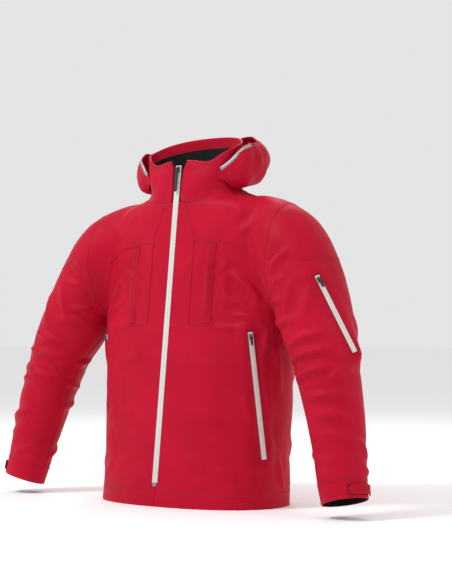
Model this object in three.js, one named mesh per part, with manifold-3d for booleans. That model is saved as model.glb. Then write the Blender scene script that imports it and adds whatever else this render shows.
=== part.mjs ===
// Hooded hardshell jacket, size L, standing as worn with its sleeves hanging a little away from the body.
// Millimetres, +Z up. The origin is under the middle of the jacket at hem height.
// The front faces -Y and the wearer's left side is +X. "left" and "right" in names are the wearer's.

import * as THREE from 'three';
import Module from 'manifold-3d';
import { mergeVertices } from 'three/addons/utils/BufferGeometryUtils.js';

const wasm = await Module();
wasm.setup();

// ---------- driving dimensions ----------
const GAP = 1; // between panels sewn edge to edge
const FLAP_ANGLE = 7; // the storm flap reaches this many degrees each side of the centre front
const STORM_FLAP_DEPTH = 9; // from the shell's face to the flap behind the front zip
const SHELL_WALL = 4; // outer fabric with its seam allowance and insulation
const LINING_WALL = 1.4;
const POCKET_BAG_DEPTH = 14; // from the shell's face to the pocket bag behind it
const LINING_GAP = 3; // between the shell's inner face and the lining
const TRIM_WALL = 1.5; // welts, tabs and piping
const TRIM_LIFT = 0.5; // clearance between a trim and the fabric under it

// The centre front is one straight line, so that the zip's slider runs true.
const FRONT_HEM_Y = -156.6;
const FRONT_SLOPE = 0.12; // how far the front comes back for each millimetre of height

// Torso stations from hem to neck: height, half width, distance to the back, and how far the ring tips.
const TORSO = [
  { z: 0, w: 236, b: 143, k: 0 },
  { z: 140, w: 236, b: 140, k: 0 },
  { z: 300, w: 246, b: 133, k: 0 },
  { z: 420, w: 252, b: 128, k: 0 },
  { z: 500, w: 250, b: 126, k: 0 },
  { z: 570, w: 246, b: 122, k: 0 },
  { z: 625, w: 238, b: 112, k: 1 },
  { z: 660, w: 220, b: 100, k: 4 },
  { z: 682, w: 186, b: 86, k: 9 },
  { z: 696, w: 140, b: 70, k: 15 },
  { z: 704, w: 104, b: 60, k: 22 },
];
const SECTION_POWER = 2.3; // a torso section is a superellipse a little squarer than an ellipse
const NECK = TORSO[TORSO.length - 1];

const HEM_HEIGHT = 42;
const YOKE_SEAM_Z = 590;
const ARMHOLE_TOP_Z = 668;
const ARMHOLE_BOTTOM_Z = 416;
const PLACKET_WIDTH = 58;
const SIDE_SEAM_FRONT = 66; // degrees round from the centre front
const SIDE_SEAM_BACK = 116;
const ARMHOLE_FRONT = 50;
const ARMHOLE_BACK = 128;
const NAPE_FROM = 150;

const COLLAR_TOP_FRONT_Z = 774;
const COLLAR_TOP_BACK_Z = 836;
const COLLAR_TOP_HALF_WIDTH = 114;
const COLLAR_TOP_BACK_Y = 62;

// Sleeve rings from armhole to wrist: centre, tilt of the ring from upright, forward lean, and the two radii.
const SLEEVE = [
  { x: 258, y: 2, z: 547, tilt: 0, lean: 0, up: 121, deep: 92 },
  { x: 292, y: -4, z: 520, tilt: 18, lean: 3, up: 112, deep: 92 },
  { x: 325, y: -16, z: 462, tilt: 36, lean: 7, up: 96, deep: 88 },
  { x: 355, y: -30, z: 400, tilt: 50, lean: 10, up: 82, deep: 82 },
  { x: 384, y: -45, z: 332, tilt: 62, lean: 10, up: 71, deep: 74 },
  { x: 425, y: -66, z: 190, tilt: 73, lean: 9, up: 60, deep: 60 },
  { x: 460, y: -90, z: 34, tilt: 76, lean: 9, up: 52, deep: 45 },
];
const ELBOW_STATION = 4.24;
const WRIST_STATION = 6;
const CUFF_START = 5.68; // where along the sleeve stations the cuff band begins
const TAB_STATIONS = [5.76, 5.92];
const TAB_FROM = -48; // degrees round the cuff from its outer side
const TAB_TO = 42;
const LOOP_PATCH_TO = 4; // where the tab's hook-and-loop patch ends

const HOOD_FRONT = 52; // degrees from the centre front to the hood's front corners

const TAPE_WIDTH = 7;
const TAPE_THICK = 1.6;
const TAPE_SPLIT = 1.8; // between the two tapes, where the slider's web runs
const COIL_SIZE = 2.2;
const ZIP_BOTTOM_Z = 52;
const ZIP_TOP_Z = 765;
const SLIDER = { width: 11, thick: 3.2, height: 15, web: 1.0, clearance: 0.4 };
const LUG = { width: 2.4, half: 1.5, reach: 2.2, pinRadius: 0.6, clearance: 0.4 };
const PULLER = { width: 7, thick: 2.6, length: 56 };
const POCKET_PULLER_LENGTH = 23;
const SMALL = 0.8; // pocket sliders and pullers against the front ones
// A hand pocket zip's ends: distance from the centre, how far in front of the torso's face, and height.
const POCKET_ZIP = { top: [206, 4.94, 388], bottom: [229.5, 10.41, 108], facing: 49 };
const SLEEVE_ZIP = { top: [378, -71, 507], bottom: [458, -46, 344], facing: 60 };
const WELT = { from: 100, to: 119, bottom: 408, top: YOKE_SEAM_Z - 6 };

const SIDES = [
  { name: 'left', sign: 1 },
  { name: 'right', sign: -1 },
];

const RED = 0xc8102e;
const BLACK = 0x16181a;
const OFF_WHITE = 0xdfe3dc;
const GREY = 0x9a9ea0;
const material = (color, roughness, metalness = 0) => () =>
  new THREE.MeshStandardMaterial({ color, roughness, metalness });
const shellFabric = material(RED, 0.75);
const liningFabric = material(BLACK, 0.95);
const zipTape = material(OFF_WHITE, 0.6);
const zipMetal = material(GREY, 0.35, 0.9);
const pullRubber = material(BLACK, 0.6);
const reflective = material(GREY, 0.4, 0.2);

const jacket = new THREE.Group();
const rad = THREE.MathUtils.degToRad;
const lerp = THREE.MathUtils.lerp;

// ---------- curves and surfaces ----------

// Smooth value of one field of a list of stations at a fractional station number.
function along(stations, field, s) {
  const last = stations.length - 1;
  const i = Math.min(Math.max(Math.floor(s), 0), last - 1);
  const t = s - i;
  const at = (k) => stations[Math.min(Math.max(k, 0), last)][field];
  const [a, b, c, d] = [at(i - 1), at(i), at(i + 1), at(i + 2)];
  return b + 0.5 * t * (c - a + t * (2 * a - 5 * b + 4 * c - d + t * (3 * (b - c) + d - a)));
}

const frontY = (z) => FRONT_HEM_Y + FRONT_SLOPE * z;

// A point on a ring that is a superellipse, theta degrees round from the front towards +X.
function ringPoint(theta, halfWidth, front, back, z, power) {
  const s = Math.sin(rad(theta));
  const c = Math.cos(rad(theta));
  const x = halfWidth * Math.sign(s) * Math.abs(s) ** (2 / power);
  const y = (front + back) / 2 - ((back - front) / 2) * Math.sign(c) * Math.abs(c) ** (2 / power);
  return new THREE.Vector3(x, y, z);
}

function torsoPoint(theta, s) {
  const z = along(TORSO, 'z', s) - along(TORSO, 'k', s) * Math.cos(rad(theta));
  const frontZ = along(TORSO, 'z', s) - along(TORSO, 'k', s);
  return ringPoint(theta, along(TORSO, 'w', s), frontY(frontZ), along(TORSO, 'b', s), z, SECTION_POWER);
}

// The station number where the torso reaches a height.
function torsoStation(z) {
  let low = 0;
  let high = TORSO.length - 1;
  for (let i = 0; i < 40; i++) {
    const middle = (low + high) / 2;
    if (along(TORSO, 'z', middle) < z) low = middle;
    else high = middle;
  }
  return low;
}

// The angle round the torso where its front reaches a distance from the centre line.
function torsoAngle(x, s) {
  return THREE.MathUtils.radToDeg(Math.asin(Math.min(1, (x / along(TORSO, 'w', s)) ** (SECTION_POWER / 2))));
}

function collarPoint(theta, v) {
  const base = torsoPoint(theta, TORSO.length - 1);
  const round = (1 - Math.cos(rad(theta))) / 2;
  const topZ = lerp(COLLAR_TOP_FRONT_Z, COLLAR_TOP_BACK_Z, round);
  const front = frontY(COLLAR_TOP_FRONT_Z);
  const top = ringPoint(theta, COLLAR_TOP_HALF_WIDTH, front, COLLAR_TOP_BACK_Y, topZ, SECTION_POWER);
  const p = base.clone().lerp(top, v);
  p.z += GAP;
  return p;
}

// The hood hangs open behind the collar: a bucket that bulges at the sides and most at the back.
const HOOD_RIM = 4;
const HOOD_BRIM_START = 3.55;
const HOOD_BRIM_FROM = 100; // degrees; the sides in front of it carry the trims
const HOOD_SIDE = [
  { out: 14, up: 4 },
  { out: 40, up: 10 },
  { out: 50, up: 40 },
  { out: 40, up: 74 },
  { out: 20, up: 92 },
];
const HOOD_REAR = [
  { out: 14, up: 2 },
  { out: 62, up: 6 },
  { out: 93.4, up: 50 },
  { out: 74, up: 104 },
  { out: 34, up: 130 },
];
function hoodPoint(theta, s) {
  const base = collarPoint(theta, 0);
  const ends = THREE.MathUtils.smoothstep(Math.min(theta, 360 - theta), HOOD_FRONT - 8, HOOD_FRONT + 34);
  const rear = THREE.MathUtils.smoothstep(Math.min(theta, 360 - theta), 95, 165);
  const out = lerp(along(HOOD_SIDE, 'out', s), along(HOOD_REAR, 'out', s), rear);
  const up = lerp(along(HOOD_SIDE, 'up', s), along(HOOD_REAR, 'up', s), rear);
  const flat = new THREE.Vector3(base.x, base.y + 8, 0).normalize();
  const push = lerp(13, out, ends);
  return new THREE.Vector3(base.x + flat.x * push, base.y + flat.y * push, base.z + lerp(0.75, 1, ends) * up);
}

function sleevePoint(sign) {
  return (phi, s) => {
    const [tilt, lean] = [rad(along(SLEEVE, 'tilt', s)), rad(along(SLEEVE, 'lean', s))];
    const down = new THREE.Vector3(Math.cos(tilt), -Math.tan(lean), -Math.sin(tilt));
    down.multiplyScalar(Math.cos(lean));
    const up = new THREE.Vector3(Math.sin(tilt), 0, Math.cos(tilt));
    const deep = up.clone().cross(down);
    const p = new THREE.Vector3(along(SLEEVE, 'x', s), along(SLEEVE, 'y', s), along(SLEEVE, 'z', s));
    p.addScaledVector(up, along(SLEEVE, 'up', s) * Math.cos(rad(phi)));
    p.addScaledVector(deep, along(SLEEVE, 'deep', s) * Math.sin(rad(phi)));
    p.x *= sign;
    return p;
  };
}

// ---------- solids ----------

function normalAt(surface, u, v, outwards) {
  const du = surface(u + 0.5, v).sub(surface(u - 0.5, v));
  const dv = surface(u, v + 0.01).sub(surface(u, v - 0.01));
  return du.cross(dv).normalize().multiplyScalar(outwards);
}

function closedGeometry(points, triangles) {
  const position = new Float32Array(points.flatMap((p) => [p.x, p.y, p.z]));
  let volume = 0;
  for (let i = 0; i < triangles.length; i += 3) {
    const [a, b, c] = [0, 1, 2].map((k) => points[triangles[i + k]]);
    volume += a.dot(b.clone().cross(c));
  }
  if (volume < 0) {
    for (let i = 0; i < triangles.length; i += 3) {
      [triangles[i], triangles[i + 1]] = [triangles[i + 1], triangles[i]];
    }
  }
  const geometry = new THREE.BufferGeometry();
  geometry.setAttribute('position', new THREE.BufferAttribute(position, 3));
  geometry.setIndex(triangles);
  return geometry;
}

// The stations of a patch's rows: its two ends and the multiples of step between them.
function rowStations(low, high, step) {
  const rows = [low];
  for (let v = (Math.floor(low / step) + 1) * step; v < high - step / 4; v += step) {
    if (v > low + step / 4) rows.push(v);
  }
  return [...rows, high];
}

// A closed solid on a surface: a patch between angles from and to, and stations low and high.
// from and to may be functions of the station. A ring goes all the way round. A level patch keeps flat edges.
// Rows lie at the same stations on every patch of a surface, so that neighbours' edges run side by side.
function patch(surface, o) {
  const outwards = o.outwards ?? 1;
  const lift = o.lift ?? 0;
  const wall = o.wall ?? SHELL_WALL;
  const value = (bound, v) => (typeof bound === 'function' ? bound(v) : bound);
  const trim = o.ring ? 0 : GAP / 2;
  const columns = o.ring ? o.nu : o.nu + 1;
  const faces = [[], []];
  const rows = rowStations(o.low, o.high, o.step);
  const nv = rows.length - 1;
  rows.forEach((v, j) => {
    const [a, b] = [value(o.from ?? 0, v), value(o.to ?? 360, v)];
    const middle = (a + b) / 2;
    const perDegree = surface(middle + 0.5, v).distanceTo(surface(middle - 0.5, v));
    const perStation = surface(middle, v + 0.01).distanceTo(surface(middle, v - 0.01)) / 0.02;
    const inset = j === 0 ? (o.insetLow ?? GAP / 2) : j === nv ? -GAP / 2 : 0;
    const w = v + inset / perStation;
    for (let i = 0; i < columns; i++) {
      const u = lerp(a + trim / perDegree, b - trim / perDegree, i / o.nu);
      const p = surface(u, w);
      const n = normalAt(surface, u, w, outwards);
      if (o.level) n.setZ(0).normalize();
      faces[0].push(p.clone().addScaledVector(n, lift));
      faces[1].push(p.clone().addScaledVector(n, lift - wall));
    }
  });
  const points = [...faces[0], ...faces[1]];
  const half = faces[0].length;
  const at = (i, j, side) => side * half + j * columns + (i % columns);
  const triangles = [];
  const quad = (a, b, c, d) => triangles.push(a, b, c, a, c, d);
  for (let i = 0; i < o.nu; i++) {
    for (let j = 0; j < nv; j++) {
      quad(at(i, j, 0), at(i + 1, j, 0), at(i + 1, j + 1, 0), at(i, j + 1, 0));
      quad(at(i, j, 1), at(i, j + 1, 1), at(i + 1, j + 1, 1), at(i + 1, j, 1));
    }
    quad(at(i, 0, 0), at(i, 0, 1), at(i + 1, 0, 1), at(i + 1, 0, 0));
    quad(at(i, nv, 0), at(i + 1, nv, 0), at(i + 1, nv, 1), at(i, nv, 1));
  }
  for (let j = 0; !o.ring && j < nv; j++) {
    quad(at(0, j, 0), at(0, j + 1, 0), at(0, j + 1, 1), at(0, j, 1));
    quad(at(o.nu, j, 0), at(o.nu, j, 1), at(o.nu, j + 1, 1), at(o.nu, j + 1, 0));
  }
  return closedGeometry(points, triangles);
}

function toSolid(geometry) {
  const bare = geometry.clone();
  bare.deleteAttribute('normal');
  bare.deleteAttribute('uv');
  const merged = mergeVertices(bare, 1e-4);
  return new wasm.Manifold(
    new wasm.Mesh({
      numProp: 3,
      vertProperties: new Float32Array(merged.attributes.position.array),
      triVerts: new Uint32Array(merged.index.array),
    }),
  );
}

function fromSolid(solid) {
  const mesh = solid.getMesh();
  const geometry = new THREE.BufferGeometry();
  geometry.setAttribute('position', new THREE.BufferAttribute(new Float32Array(mesh.vertProperties), 3));
  geometry.setIndex(Array.from(mesh.triVerts));
  return geometry;
}

function join(...geometries) {
  return fromSolid(geometries.map(toSolid).reduce((a, b) => a.add(b)));
}

function cut(geometry, ...tools) {
  return fromSolid(tools.map(toSolid).reduce((a, b) => a.subtract(b), toSolid(geometry)));
}

// A box whose near face, seen along +Y, is at y.
function boxAt(width, thick, height, x, y, z) {
  return new THREE.BoxGeometry(width, thick, height).translate(x, y + thick / 2, z);
}

function add(name, geometry, makeMaterial, parent = jacket) {
  const mesh = new THREE.Mesh(geometry, makeMaterial());
  mesh.name = name;
  parent.add(mesh);
  return mesh;
}

// ---------- torso ----------

const S_HEM = torsoStation(HEM_HEIGHT);
const S_YOKE = torsoStation(YOKE_SEAM_Z);
const S_ARM_LOW = torsoStation(ARMHOLE_BOTTOM_Z);
const S_ARM_TOP = torsoStation(ARMHOLE_TOP_Z);
const S_NECK = TORSO.length - 1;
const ZIP_HALF = TAPE_SPLIT / 2 + TAPE_WIDTH;
const zipEdge = (s) => torsoAngle(ZIP_HALF + GAP, s);
const placketEdge = (s) => torsoAngle(PLACKET_WIDTH, s);

// The armhole's front and back edges close in towards the armpit.
function armholeEdge(straight, armhole) {
  return (s) => lerp(straight, armhole, THREE.MathUtils.smoothstep(s, S_ARM_LOW, S_ARM_LOW + 0.9));
}
const frontEdge = armholeEdge(SIDE_SEAM_FRONT, ARMHOLE_FRONT);
const backEdge = armholeEdge(SIDE_SEAM_BACK, ARMHOLE_BACK);

function sided(sign, o) {
  if (sign > 0) return patch(torsoPoint, { ...o, outwards: 1 });
  const flip = (bound) => (typeof bound === 'function' ? (s) => -bound(s) : -bound);
  return patch(torsoPoint, { ...o, from: flip(o.to), to: flip(o.from), outwards: 1 });
}

// The frame of a straight strip between two points: X across it, Y into the fabric and Z up it.
function stripFrame(sign, zip) {
  const top = new THREE.Vector3(...zip.top);
  const bottom = new THREE.Vector3(...zip.bottom);
  const facing = new THREE.Vector3(Math.sin(rad(zip.facing)), -Math.cos(rad(zip.facing)), 0);
  for (const v of [top, bottom, facing]) v.x *= sign;
  const up = top.clone().sub(bottom).normalize();
  const across = up.clone().cross(facing).normalize();
  const basis = new THREE.Matrix4().makeBasis(across, up.clone().cross(across), up);
  basis.setPosition(top.clone().add(bottom).multiplyScalar(0.5));
  return { basis, length: top.distanceTo(bottom) };
}

// A zip's end in front of the torso, so that the zip follows the torso's size.
function beforeTorso([x, proud, z]) {
  const s = torsoStation(z);
  return [x, torsoPoint(torsoAngle(x, s), s).y - proud, z];
}

const pocketStrip = { ...POCKET_ZIP, top: beforeTorso(POCKET_ZIP.top), bottom: beforeTorso(POCKET_ZIP.bottom) };
const pocketFrames = SIDES.map(({ sign }) => stripFrame(sign, pocketStrip));
const sleeveFrame = stripFrame(1, SLEEVE_ZIP);
const SLOT_DEPTH = 60;
const slotCutter = (frame) =>
  new THREE.BoxGeometry(2 * ZIP_HALF * SMALL + 2 * GAP, SLOT_DEPTH, frame.length + 2 * GAP).applyMatrix4(
    frame.basis,
  );

SIDES.forEach(({ name, sign }, index) => {
  const placket = { from: zipEdge, to: placketEdge, nu: 3, low: S_HEM, high: S_NECK, step: 0.5 };
  add(`placket_${name}`, sided(sign, placket), shellFabric);

  const front = { from: placketEdge, to: frontEdge, nu: 8, low: S_HEM, high: S_YOKE, step: 0.5 };
  add(`front_panel_${name}`, cut(sided(sign, front), slotCutter(pocketFrames[index])), shellFabric);

  const side = { from: frontEdge, to: backEdge, nu: 5, low: S_HEM, high: S_ARM_LOW, step: 0.5 };
  add(`side_panel_${name}`, cut(sided(sign, side), slotCutter(pocketFrames[index])), shellFabric);

  const yoke = { from: placketEdge, to: ARMHOLE_FRONT, nu: 6, low: S_YOKE, high: S_ARM_TOP, step: 0.5 };
  add(`front_yoke_${name}`, sided(sign, yoke), shellFabric);

  const shoulder = { from: placketEdge, to: NAPE_FROM, nu: 10, low: S_ARM_TOP, high: S_NECK, step: 0.5 };
  add(`shoulder_panel_${name}`, sided(sign, shoulder), shellFabric);

  const welt = {
    from: (s) => torsoAngle(WELT.from, s),
    to: (s) => torsoAngle(WELT.to, s),
    nu: 2,
    low: torsoStation(WELT.bottom),
    high: torsoStation(WELT.top),
    step: 0.5,
    wall: TRIM_WALL,
    lift: TRIM_LIFT + TRIM_WALL,
  };
  add(`chest_pocket_welt_${name}`, sided(sign, welt), shellFabric);

  const bag = {
    from: 34,
    to: frontEdge,
    nu: 4,
    low: torsoStation(120),
    high: torsoStation(385),
    step: 0.5,
    wall: LINING_WALL,
    lift: -POCKET_BAG_DEPTH,
  };
  add(`hand_pocket_bag_${name}`, sided(sign, bag), liningFabric);
});

const backEdges = { from: backEdge, to: (s) => 360 - backEdge(s) };
const back = { ...backEdges, nu: 14, low: S_HEM, high: S_YOKE, step: 0.5 };
add('back_panel', patch(torsoPoint, back), shellFabric);
const backYokeEdges = { from: ARMHOLE_BACK, to: 360 - ARMHOLE_BACK };
const backYoke = { ...backYokeEdges, nu: 12, low: S_YOKE, high: S_ARM_TOP, step: 0.5 };
add('back_yoke', patch(torsoPoint, backYoke), shellFabric);
const nape = { from: NAPE_FROM, to: 360 - NAPE_FROM, nu: 6, low: S_ARM_TOP, high: S_NECK, step: 0.5 };
add('nape_panel', patch(torsoPoint, nape), shellFabric);
const hemEdges = { from: zipEdge, to: (s) => 360 - zipEdge(s) };
const hem = { ...hemEdges, nu: 40, low: 0, high: S_HEM, step: 0.5, insetLow: 0, level: true };
add('hem_band', patch(torsoPoint, hem), shellFabric);
const lining = {
  from: 118,
  to: 242,
  nu: 12,
  low: torsoStation(HEM_HEIGHT + 12),
  high: torsoStation(YOKE_SEAM_Z + 20),
  step: 0.5,
  wall: LINING_WALL,
  lift: -SHELL_WALL - LINING_GAP,
};
add('back_lining', patch(torsoPoint, lining), liningFabric);

// ---------- collar ----------

const COLLAR_ZIP_ANGLE = zipEdge(S_NECK);
const collar = { from: COLLAR_ZIP_ANGLE, to: 360 - COLLAR_ZIP_ANGLE, nu: 36, low: 0, high: 1, step: 0.34 };
add('collar', patch(collarPoint, collar), shellFabric);
const collarLining = {
  ...collar,
  from: COLLAR_ZIP_ANGLE + 4,
  to: 356 - COLLAR_ZIP_ANGLE,
  low: 0.04,
  high: 0.78,
  wall: LINING_WALL,
  lift: -SHELL_WALL - GAP,
};
add('collar_lining', patch(collarPoint, collarLining), liningFabric);

const loopHeight = 12;
const loopWidth = 60;
const hangerOuter = boxAt(loopWidth, 3, loopHeight, 0, 0, 0);
const hangerInner = boxAt(loopWidth - 12, 9, loopHeight - 6, 0, -4, 0);
const hanger = add('hanger_loop', cut(hangerOuter, hangerInner), liningFabric);
hanger.position.set(0, NECK.b - SHELL_WALL - GAP - LINING_WALL - 5.5, NECK.z + NECK.k + 22);

// ---------- sleeves ----------

SIDES.forEach(({ name, sign }) => {
  const surface = sleevePoint(sign);
  const ring = { ring: true, outwards: -sign, nu: 22 };
  const upperGeometry = patch(surface, { ...ring, low: 0, high: ELBOW_STATION - 0.02, step: 0.4 });
  const isPocketSide = sign > 0;
  const upper = isPocketSide ? cut(upperGeometry, slotCutter(sleeveFrame)) : upperGeometry;
  add(`sleeve_upper_${name}`, upper, shellFabric);
  const lower = { ...ring, low: ELBOW_STATION + 0.02, high: CUFF_START, step: 0.3 };
  add(`sleeve_lower_${name}`, patch(surface, lower), shellFabric);
  const cuff = { ...ring, low: CUFF_START, high: WRIST_STATION, step: 0.2 };
  add(`cuff_${name}`, patch(surface, cuff), shellFabric);
  const tab = {
    outwards: -sign,
    from: TAB_FROM,
    to: TAB_TO,
    low: TAB_STATIONS[0],
    high: TAB_STATIONS[1],
    nu: 8,
    step: 1,
    wall: TRIM_WALL,
    lift: 3 * TRIM_LIFT + 2 * TRIM_WALL,
  };
  add(`cuff_tab_${name}`, patch(surface, tab), shellFabric);
  const loop = { ...tab, to: LOOP_PATCH_TO, nu: 5, wall: TRIM_WALL, lift: TRIM_LIFT + TRIM_WALL };
  add(`cuff_loop_patch_${name}`, patch(surface, loop), liningFabric);
});

// ---------- hood ----------

const hoodRing = { from: HOOD_FRONT, to: 360 - HOOD_FRONT, nu: 26 };
const HOOD_START = 1;
const hoodBucket = { ...hoodRing, low: HOOD_START, high: HOOD_BRIM_START, step: 0.5 };
add('hood_shell', patch(hoodPoint, hoodBucket), shellFabric);
const brimEnds = { from: HOOD_BRIM_FROM, to: 360 - HOOD_BRIM_FROM, nu: 16 };
const brim = { ...brimEnds, low: HOOD_BRIM_START, high: HOOD_RIM, step: 0.5 };
add('hood_brim', patch(hoodPoint, brim), shellFabric);
const flange = { ...hoodRing, low: 0, high: HOOD_START - 0.12, step: 1 };
add('hood_neck_flange', patch(hoodPoint, flange), shellFabric);
SIDES.forEach(({ name, sign }) => {
  const near = [HOOD_FRONT + 3, HOOD_BRIM_FROM - 3];
  const range = sign > 0 ? near : near.map((angle) => 360 - angle).reverse();
  const trim = { from: range[0], to: range[1], nu: 6, low: 3.6, high: 3.8, step: 1, wall: 2 * TRIM_WALL };
  add(`hood_reflective_trim_${name}`, patch(hoodPoint, trim), reflective);
});
const tabLift = 3 * TRIM_LIFT + TRIM_WALL;
const hoodTab = { from: 174, to: 186, nu: 2, low: 2.1, high: 3.4, step: 0.5, wall: TRIM_WALL, lift: tabLift };
add('hood_adjuster_tab', patch(hoodPoint, hoodTab), shellFabric);

// ---------- front zip ----------

const zipTilt = Math.atan(FRONT_SLOPE);
const zipLine = new THREE.Group();
zipLine.position.set(0, frontY(ZIP_BOTTOM_Z), ZIP_BOTTOM_Z);
zipLine.rotation.x = -zipTilt;
jacket.add(zipLine);
const ZIP_LENGTH = (ZIP_TOP_Z - ZIP_BOTTOM_Z) / Math.cos(zipTilt);

// Two tapes with a coil behind each, from the bottom of a frame upwards. Their faces are at y 0.
function tapes(prefix, length, scale, parent, y = 0) {
  SIDES.forEach(({ name, sign }) => {
    const x = sign * (TAPE_SPLIT / 2 + (TAPE_WIDTH / 2) * scale);
    const tape = boxAt(TAPE_WIDTH * scale, TAPE_THICK, length, x, y, length / 2);
    const coilX = sign * (TAPE_SPLIT / 2 + (COIL_SIZE / 2) * scale);
    const coil = boxAt(COIL_SIZE * scale, COIL_SIZE * scale, length, coilX, y + TAPE_THICK - 0.1, length / 2);
    add(`${prefix}_${name}`, join(tape, coil), zipTape, parent);
  });
}

// A slider straddles the tapes: an outer plate, a web between the tapes, and an inner plate.
function sliderGeometry(scale) {
  const { width, thick, height, web, clearance } = SLIDER;
  const [w, h] = [width * scale, height * scale];
  const outer = boxAt(w, thick * scale, h, 0, -clearance - thick * scale, 0);
  const depth = TAPE_THICK + COIL_SIZE * scale + 2 * clearance + 1;
  const bridge = boxAt(web, depth, h * 0.6, 0, -clearance - 0.5, h * 0.1);
  const inner = boxAt(w, 1.5, h, 0, TAPE_THICK + COIL_SIZE * scale + clearance, 0);
  const pivot = pullerPivot(scale);
  const lug = boxAt(LUG.width * scale, LUG.reach + LUG.half, 2 * LUG.half, 0, pivot.y - LUG.half, pivot.z);
  const pin = crossBar(LUG.pinRadius, PULLER.width * scale).translate(0, pivot.y, pivot.z);
  return join(outer, bridge, inner, lug, pin);
}

// Where the puller's pin crosses the slider's lug.
function pullerPivot(scale) {
  return { y: -SLIDER.clearance - SLIDER.thick * scale - LUG.reach, z: SLIDER.height * scale * 0.28 };
}

function crossBar(radius, length) {
  return new THREE.CylinderGeometry(radius, radius, length, 8).rotateZ(Math.PI / 2);
}

// A puller is a flat tab whose forked end turns on the pin. Its pivot is at its own origin.
function pullerGeometry(scale, length) {
  const half = (PULLER.width * scale) / 2;
  const round = PULLER.thick / 2;
  const outline = new THREE.Shape();
  outline.moveTo(-half, round);
  outline.lineTo(-half * 0.8, -length + half);
  outline.absarc(0, -length + half, half * 0.8, Math.PI, 2 * Math.PI, false);
  outline.lineTo(half, round);
  outline.closePath();
  const sheet = { depth: PULLER.thick, bevelEnabled: false, curveSegments: 6 };
  const tab = new THREE.ExtrudeGeometry(outline, sheet);
  tab.rotateX(Math.PI / 2).translate(0, PULLER.thick / 2, 0);
  const forkWidth = LUG.width * scale + 2 * LUG.clearance;
  const fork = boxAt(forkWidth, 2 * PULLER.thick, 4 * LUG.half + round, 0, -PULLER.thick, 0);
  return cut(tab, fork, crossBar(LUG.pinRadius + LUG.clearance, 4 * half));
}

tapes('front_zip_tape', ZIP_LENGTH, 1, zipLine);
add('front_zip_bottom_stop', boxAt(9, 4, 6, 0, -1, -6 / 2 - GAP), zipMetal, zipLine);
const frontSliderAt = ZIP_LENGTH - 10;
const frontSlider = add('front_zip_slider', sliderGeometry(1), zipMetal, zipLine);
frontSlider.position.z = frontSliderAt;
const frontPuller = add('front_zip_puller', pullerGeometry(1, PULLER.length), pullRubber, zipLine);
frontPuller.position.set(0, pullerPivot(1).y, frontSliderAt + pullerPivot(1).z);

const flapArea = { from: -FLAP_ANGLE, to: FLAP_ANGLE, nu: 2, low: S_HEM, high: S_NECK, step: 1 };
const flap = { ...flapArea, wall: LINING_WALL, lift: -STORM_FLAP_DEPTH };
add('storm_flap', patch(torsoPoint, flap), shellFabric);

// ---------- pocket zips ----------

function pocketZip(prefix, frame) {
  const strip = new THREE.Group();
  strip.applyMatrix4(frame.basis);
  jacket.add(strip);
  const length = frame.length - 2 * GAP;
  const line = new THREE.Group();
  line.position.z = -length / 2;
  strip.add(line);
  tapes(`${prefix}_tape`, length, SMALL, line);
  const slider = add(`${prefix}_slider`, sliderGeometry(SMALL), zipMetal, line);
  const at = length - 10;
  slider.position.z = at;
  const puller = add(`${prefix}_puller`, pullerGeometry(SMALL, POCKET_PULLER_LENGTH), zipMetal, line);
  puller.position.set(0, pullerPivot(SMALL).y, at + pullerPivot(SMALL).z);
}

SIDES.forEach(({ name }, index) => pocketZip(`hand_pocket_zip_${name}`, pocketFrames[index]));
pocketZip('sleeve_pocket_zip', sleeveFrame);

export default jacket;
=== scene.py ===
"""Hooded hardshell jacket: red shell fabric, black lining, pale zips, standing as worn.

Metres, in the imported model's frame: front towards -Y, the wearer's left towards +X, hem at z 0.
"""
import math

import bmesh
import bpy
import numpy as np
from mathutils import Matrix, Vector, noise
from mathutils.bvhtree import BVHTree


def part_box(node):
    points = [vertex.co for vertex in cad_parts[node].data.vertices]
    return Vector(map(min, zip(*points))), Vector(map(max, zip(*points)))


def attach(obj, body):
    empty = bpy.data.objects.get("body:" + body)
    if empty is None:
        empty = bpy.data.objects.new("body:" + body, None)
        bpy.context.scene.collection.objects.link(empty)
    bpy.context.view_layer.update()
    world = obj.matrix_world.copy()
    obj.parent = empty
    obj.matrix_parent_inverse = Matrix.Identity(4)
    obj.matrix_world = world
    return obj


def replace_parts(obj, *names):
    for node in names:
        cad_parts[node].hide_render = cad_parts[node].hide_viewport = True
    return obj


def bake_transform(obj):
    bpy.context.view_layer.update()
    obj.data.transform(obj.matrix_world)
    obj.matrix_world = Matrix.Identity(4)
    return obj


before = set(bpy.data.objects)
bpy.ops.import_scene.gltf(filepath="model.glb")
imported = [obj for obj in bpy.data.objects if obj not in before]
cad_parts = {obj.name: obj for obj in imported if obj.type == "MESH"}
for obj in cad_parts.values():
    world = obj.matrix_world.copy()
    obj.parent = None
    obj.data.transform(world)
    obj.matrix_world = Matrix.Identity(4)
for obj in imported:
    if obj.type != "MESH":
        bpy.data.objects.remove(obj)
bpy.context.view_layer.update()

MM = 0.001
SIDES = (("left", 1), ("right", -1))

# ---------- the jacket's shape, in the same stations as the CAD part ----------

FRONT_HEM_Y = -0.1566
FRONT_SLOPE = 0.12
SECTION_POWER = 2.3

# height, half width, distance to the back, how far the ring tips forward
TORSO = np.array([
    (0.000, 0.236, 0.143, 0.000),
    (0.140, 0.236, 0.140, 0.000),
    (0.300, 0.246, 0.133, 0.000),
    (0.420, 0.252, 0.128, 0.000),
    (0.500, 0.250, 0.126, 0.000),
    (0.570, 0.246, 0.122, 0.000),
    (0.625, 0.238, 0.112, 0.001),
    (0.660, 0.220, 0.100, 0.004),
    (0.682, 0.186, 0.086, 0.009),
    (0.696, 0.140, 0.070, 0.015),
    (0.704, 0.104, 0.060, 0.022),
])
NECK_STATION = len(TORSO) - 1

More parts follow.
